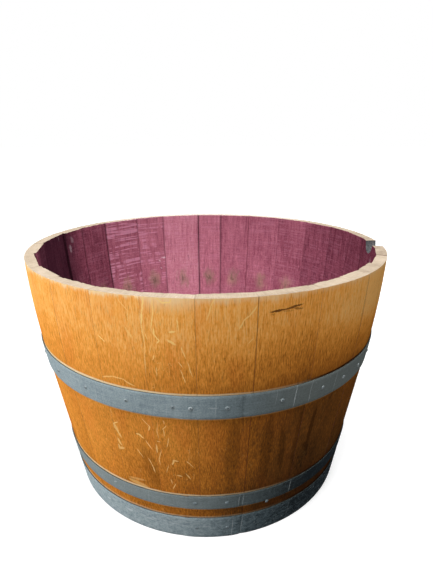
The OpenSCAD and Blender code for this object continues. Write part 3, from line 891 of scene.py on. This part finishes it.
def make_stave(stave, materials):
    seed = 7.31 * stave.number
    drop = stave.of(OUTSIDE_DROP) * MM
    rim_drop = stave.of(RIM_DROP) * MM

    def place(u, t, z):
        turn = stave.half * (2 * u - 1)
        angle = stave.middle + turn
        outside = outer_r(z) - drop - WAVY_OUTSIDE * (1 + ripple(angle * 9, z * 6, 0.0))
        flat = (outer_r(z) - stave.thickness) / math.cos(turn)
        inside = max(flat, float(np.interp(z, PROFILE_Z, PROFILE_R)))
        if z > CORE_Z:
            inside += WAVY_INSIDE * ripple(angle * 14, z * 22, seed + 3)
        radius = outside + (inside - outside) * t
        sunk = rim_drop + WAVY_CUT * (1 + ripple(angle * 30, radius * 60, 0.0))
        height = z - smooth(z, HEIGHT - SINK_H, HEIGHT) * sunk
        if z == HEIGHT and t in (0.0, 1.0):
            # the saw tore small chips out of both edges, more of them inside
            torn = max(0.0, ripple(angle * 110, seed, t) - 0.05) * (TORN_INSIDE if t else TORN_OUTSIDE)
            height -= torn
            radius += (torn if t else -torn) * 0.5
        return (radius * math.cos(angle), radius * math.sin(angle), height)

    steps = max(8, round(2 * stave.half * CUT_R / STAVE_CELL))
    deep = between(0, 1, STAVE_DEEP) + [1.0]
    mesh = block_mesh(f"{stave.node}_wood", between(0, 1, steps) + [1.0], deep, stave_heights(),
                      place, slots=(0, 1, 1, 2))
    piece = add_object(f"{stave.node}_wood", mesh, materials[:3])
    cutters = []
    if stave.number == BUNG_STAVE:
        inwards, outwards = 0.04, 0.01
        hole = [(0, -inwards), (BUNG_D / 2 - inwards * BUNG_TAPER, -inwards),
                (BUNG_D / 2 + outwards * BUNG_TAPER, outwards), (0, outwards)]
        matrix = (Matrix.Rotation(stave.middle, 4, "Z")
                  @ Matrix.Translation((CUT_R, 0, HEIGHT + BUNG_ABOVE_CUT))
                  @ Matrix.Rotation(math.pi / 2, 4, "Y"))
        cutter = lathe_mesh("bung_cutter", hole, BUNG_STEPS)
        cutters.append(cut_with(piece, cutter, matrix, materials[3]))
    round_edges(piece, 0.08 * MM, 1)
    apply_modifiers(piece, cutters)
    mark_stave(piece.data, stave, seed)
    dress(piece, stave.node)


def mark_stave(mesh, stave, seed):
    """Tells the shaders where each point lies in its stave and on the barrel."""
    points = points_of(mesh)
    z = points[:, 2]
    turn, (across, out) = stave.seen_from_middle(points)
    to_joint = (stave.half - abs(turn)) * np.hypot(points[:, 0], points[:, 1])
    set_attribute(mesh, "grain", across + 0.61 * seed, z + 1.37 * seed, CUT_R - out)
    set_attribute(mesh, "spot", across, z, to_joint)
    set_attribute(mesh, "sheet", (stave.middle + turn) * SHEET_R, z)
    set_attribute(mesh, "look", stave.of(OUTSIDE_TONE), stave.of(FLECK), stave.of(INSIDE_TONE))
    set_attribute(mesh, "rim", stave.of(SCRAPE), 0, stave.of(RIM_TONE))
    seams = list(zip(JOINTS_OUTSIDE, JOINTS_INSIDE, JOINTS_CUT))
    before, after = seams[stave.number - 2], seams[stave.number - 1]
    set_attribute(mesh, "seam", *np.where((turn < 0)[:, None], before, after).T)


def head_layer(t):
    """Height over the middle of the head and radius there, for a step through its thickness."""
    heights = (HEAD_T / 2, HEAD_EDGE_T / 2, -HEAD_EDGE_T / 2, -HEAD_T / 2)
    radii = (HEAD_R - HEAD_BEVEL_W, HEAD_R, HEAD_R, HEAD_R - HEAD_BEVEL_W)
    return float(np.interp(t, BOARD_DEEP, heights)), float(np.interp(t, BOARD_DEEP, radii))


def make_head_board(number, materials):
    node = f"head_board_{number}"
    low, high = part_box(node)
    seed = 3.7 * number
    first = number == 1
    last = number == BOARD_COUNT

    def place(u, t, s):
        height, radius = head_layer(t)
        start = -radius if first else low.y
        end = radius if last else high.y
        y = start + (end - start) * s
        x = u * math.sqrt(max(0.0, radius * radius - y * y))
        if t in (0.0, 1.0):
            height -= math.copysign(WAVY_BOARD * (1 + ripple(x * 12, y * 40, seed)), height)
        return (x, y, CROZE_Z + height)

    # steps along the board, closer together towards the rim
    across = [math.sin(math.pi / 2 * k / BOARD_STEPS) for k in range(-BOARD_STEPS, BOARD_STEPS + 1)]
    mesh = block_mesh(f"{node}_wood", across, BOARD_DEEP, between(0, 1, BOARD_WIDE) + [1.0], place,
                      slots=(0, 1, 0, 1))
    piece = add_object(f"{node}_wood", mesh, materials)
    cutters = []
    if not first and not last:
        side = 1 if number % 2 == 0 else -1
        hole = [(0, -HEAD_T), (DRAIN_D / 2, -HEAD_T), (DRAIN_D / 2, HEAD_T), (0, HEAD_T)]
        matrix = Matrix.Translation((side * DRAIN_X, (low.y + high.y) / 2, CROZE_Z))
        cutter = lathe_mesh("drain_cutter", hole, DRAIN_STEPS)
        cutters.append(cut_with(piece, cutter, matrix, materials[1]))
    round_edges(piece, 0.8 * MM, 2)
    apply_modifiers(piece, cutters)
    x, y, z = points_of(piece.data).T
    to_joint = np.minimum(1.0 if first else y - low.y, 1.0 if last else high.y - y)
    set_attribute(piece.data, "grain", x + 1.7 * seed, y + 0.9 * seed, z)
    set_attribute(piece.data, "look", 0, 0, 0.36 + 0.08 * (number % 3))
    set_attribute(piece.data, "spot", x, z, to_joint)
    dress(piece, node)


def make_hoop(node, material):
    """One strip bent round the staves. Its end steps up smoothly over its own start."""
    low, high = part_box(node)
    middle_r = outer_r(middle_z(node))
    rivet = math.radians(LAP_A)
    tail = rivet - LAP_TAIL / middle_r
    start = tail + TAIL_GAP / middle_r
    step = tail - 2 * STEP_L / middle_r + TURN
    end = rivet + (RIVET_PITCH + LAP_END) / middle_r + TURN
    seed = high.z * 31

    def place(angle, t, z):
        over = smooth(angle, step, tail + TURN)
        under = 1 - smooth(angle, end - TURN, end - TURN + THIN_L / middle_r)
        thick = HOOP_T - max(over, under) * (HOOP_T - LAP_T)
        thick -= smooth(angle, end - THIN_L / middle_r, end) * (LAP_T - END_T)
        radius = outer_r(z) + HOOP_GAP + over * (LAP_T + LAP_GAP) + thick * (1 - t)
        if t == 0.0:
            radius += WAVY_HOOP * ripple(angle * 17, z * 30, seed)
        return (radius * math.cos(angle), radius * math.sin(angle), z)

    ends = (start, step, tail + TURN, end)
    turns = [angle for first, last, count in zip(ends, ends[1:], HOOP_STEPS)
             for angle in between(first, last, count)]
    heights = between(low.z, high.z, HOOP_WIDE) + [high.z]
    mesh = block_mesh(f"{node}_strip", turns + [end], [0.0, 1.0], heights, place, slots=(0, 0, 0, 0))
    piece = add_object(f"{node}_strip", mesh, [material])
    round_edges(piece, 0.5 * MM, 2)
    apply_modifiers(piece)
    x, y, z = points_of(piece.data).T
    set_attribute(piece.data, "sheet", np.arctan2(y, x) * SHEET_R, z)
    dress(piece, node)


def head_profile(diameter, height):
    """A hammered dome with a small flat, from its middle to its rim."""
    half = diameter / 2
    return [(0, height), (half * 0.35, height * 0.97), (half * 0.62, height * 0.80),
            (half * 0.84, height * 0.50), (half * 0.96, height * 0.22),
            (half, 0.04 * MM), (half * 0.97, 0)]


def angles_of(node):
    """Angles of the separate solids of a node, each in the middle of its points."""
    points = points_of(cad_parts[node].data)
    turns = np.sort(np.arctan2(points[:, 1], points[:, 0]))
    groups = np.split(turns, np.where(np.diff(turns) > math.radians(0.8))[0] + 1)
    return [(group[0] + group[-1]) / 2 for group in groups]


def make_fasteners(node, z, lift, profile, material):
    """All the nails or rivets of a node, joined, with their heads on the hoop."""
    bm = bmesh.new()
    angles = angles_of(node)
    for angle in angles:
        part = lathe_mesh("part", profile, FASTENER_STEPS)
        part.transform(outside_frame(z, angle, lift) @ Matrix.Rotation(angle * 5, 4, "Z"))
        bm.from_mesh(part)
        bpy.data.meshes.remove(part)
    mesh = mesh_from(bm, f"{node}_heads")
    shade_smooth(mesh, 50)
    # how far each point lies from the axis of its nail or rivet
    x, y, up = points_of(mesh).T
    turns = np.arctan2(y, x)[:, None] - np.array(angles)
    off = abs((turns + math.pi) % TURN - math.pi).min(1) * np.hypot(x, y)
    set_attribute(mesh, "head", np.hypot(off, (up - z) / math.cos(lean(z))))
    dress(add_object(f"{node}_heads", mesh, [material]), node)


def make_all_fasteners(material):
    grip = 2 * LAP_T + LAP_GAP + SEAT_GAP
    rivet = head_profile(*RIVET_HEAD) + [(RIVET_D / 2, 0), (RIVET_D / 2, -grip), (0, -grip)]
    nail = head_profile(*NAIL_HEAD) + [(NAIL_D / 2, 0), (NAIL_D / 2, -NAIL_STRAIGHT_L),
                                       (0.3 * MM, -NAIL_L), (0, -NAIL_L)]
    on_hoop = HOOP_GAP + HOOP_T + SEAT_GAP
    for hoop in HOOPS:
        make_fasteners(f"{hoop}_rivets", middle_z(hoop), HOOP_GAP + grip, rivet, material)
    make_fasteners("bilge_hoop_nails", middle_z("bilge_hoop"), on_hoop, nail, material)
    edge_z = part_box("quarter_hoop")[0].z - NAIL_D / 2 - SEAT_GAP
    make_fasteners("quarter_hoop_nails", edge_z, on_hoop, nail, material)


# ---- Stage ----
FLOOR_R = 60.0
# Each lamp is its angle round the barrel, its elevation, its size and its level: at level 1 a
# surface that faces it shows its own colour
LAMP_AWAY = 3.0
LAMPS = {
    "side": (-165, 0.0, (1.6, 0.36), 0.78),
    "front": (-125, 60.0, (1.2, 1.2), 0.65),
    "top": (-80, 74.0, (1.2, 1.2), 0.87),
    "back": (58, 30.0, (1.6, 1.6), 0.66),
    "right": (-40, 0.0, (1.6, 0.36), 0.22),
}
SKY = 0.04
# What the floor shows the camera by itself near the planter and far off, and the light it takes
FLOOR_GLOW, FAR_GLOW = 0.62, 1.0
GLOW_FROM, GLOW_TO = 0.8, 3.0
FLOOR_SHADE = colour(196, 196, 196)
FLOOR_BOUNCE = colour(50, 50, 50)


def seen_directly(tree):
    """1 for what the camera sees, straight or in a mirror or glass."""
    path = add_node(tree, "LightPath", {}).outputs
    total = path["Is Camera Ray"]
    for name in ("Is Glossy Ray", "Is Transmission Ray"):
        total = add_node(tree, "Math", {0: total, 1: path[name]}, operation="MAXIMUM").outputs[0]
    return total


def make_world():
    """Faint white light from all round, and plain white to look at."""
    world = bpy.data.worlds.new("studio")
    world.use_nodes = True
    tree = world.node_tree
    tree.nodes.clear()
    sky, white = (add_node(tree, "Background", {"Color": (1.0, 1.0, 1.0, 1.0), "Strength": level})
                  for level in (SKY, 1.0))
    mix = add_node(tree, "MixShader", {0: seen_directly(tree), 1: sky.outputs[0], 2: white.outputs[0]})
    add_node(tree, "OutputWorld", {"Surface": mix.outputs[0]})
    bpy.context.scene.world = world


def make_floor():
    """A pale floor that reads white, keeps a soft shadow and throws little light back up."""
    s = Shader("studio_floor")
    away = s.vector("LENGTH", s.coordinates())
    level = s.node("MapRange", {"Value": away, "From Min": GLOW_FROM, "From Max": GLOW_TO,
                                "To Min": FLOOR_GLOW, "To Max": FAR_GLOW})
    glow = s.node("Emission", {"Strength": level.outputs["Result"]})
    shade = s.node("BsdfDiffuse", {"Color": FLOOR_SHADE})
    both = s.node("AddShader", {0: glow.outputs[0], 1: shade.outputs[0]})
    bounce = s.node("BsdfDiffuse", {"Color": FLOOR_BOUNCE})
    mix = s.node("MixShader", {0: seen_directly(s.tree), 1: bounce.outputs[0], 2: both.outputs[0]})
    s.node("OutputMaterial", {"Surface": mix.outputs[0]})
    bm = bmesh.new()
    bmesh.ops.create_circle(bm, cap_ends=True, radius=FLOOR_R, segments=96)
    add_object("floor", mesh_from(bm, "floor"), [s.material])


def make_lamp(name, angle, elevation, size, level):
    lamp = bpy.data.lights.new(name, "AREA")
    lamp.shape = "RECTANGLE"
    lamp.size, lamp.size_y = size
    lamp.energy = level * (math.pi * LAMP_AWAY) ** 2
    holder = bpy.data.objects.new(name, lamp)
    angle, elevation = math.radians(angle), math.radians(elevation)
    way = Vector((math.cos(elevation) * math.cos(angle), math.cos(elevation) * math.sin(angle),
                  math.sin(elevation)))
    holder.location = Vector((0, 0, HEIGHT / 2)) + LAMP_AWAY * way
    holder.rotation_euler = (-way).to_track_quat("-Z", "Y").to_euler()
    bpy.context.scene.collection.objects.link(holder)


def make_camera():
    data = bpy.data.cameras.new("camera")
    data.sensor_width = SENSOR_MM
    data.sensor_fit = "AUTO"
    data.lens = FOCAL_PX * SENSOR_MM / max(IMAGE_SIZE)
    data.clip_start = 0.01
    data.clip_end = 200.0
    camera = bpy.data.objects.new("camera", data)
    camera.matrix_world = (Matrix.Translation(CAMERA_AT)
                           @ Matrix.Rotation(math.radians(-CAMERA_YAW), 4, "Z")
                           @ Matrix.Rotation(math.radians(90 + CAMERA_PITCH), 4, "X")
                           @ Matrix.Rotation(math.radians(CAMERA_ROLL), 4, "Z"))
    bpy.context.scene.collection.objects.link(camera)
    bpy.context.scene.camera = camera


def main():
    bpy.context.scene.view_settings.view_transform = "Standard"
    make_camera()
    make_world()
    make_floor()
    for name, settings in LAMPS.items():
        make_lamp(name, *settings)
    plain = varnished_oak("varnished_oak", (0, 0))
    rest = [stained_oak(), sawn_oak(), seared_oak()]
    for number in range(1, STAVE_COUNT + 1):
        stave = Stave(number)
        outside = plain
        if within(PALE_MARKS + DARK_MARKS, stave.angles):
            outside = varnished_oak(f"varnished_oak_{number:02d}", stave.angles)
        make_stave(stave, [outside] + rest)
    boards = [lees_oak(), raw_oak()]
    for number in range(1, BOARD_COUNT + 1):
        make_head_board(number, boards)
    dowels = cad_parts["head_dowels"]
    dowels.data.materials.clear()
    dowels.data.materials.append(beech())
    zinc = galvanised()
    for hoop in HOOPS:
        make_hoop(hoop, zinc)
    make_all_fasteners(fastener_steel())


main()
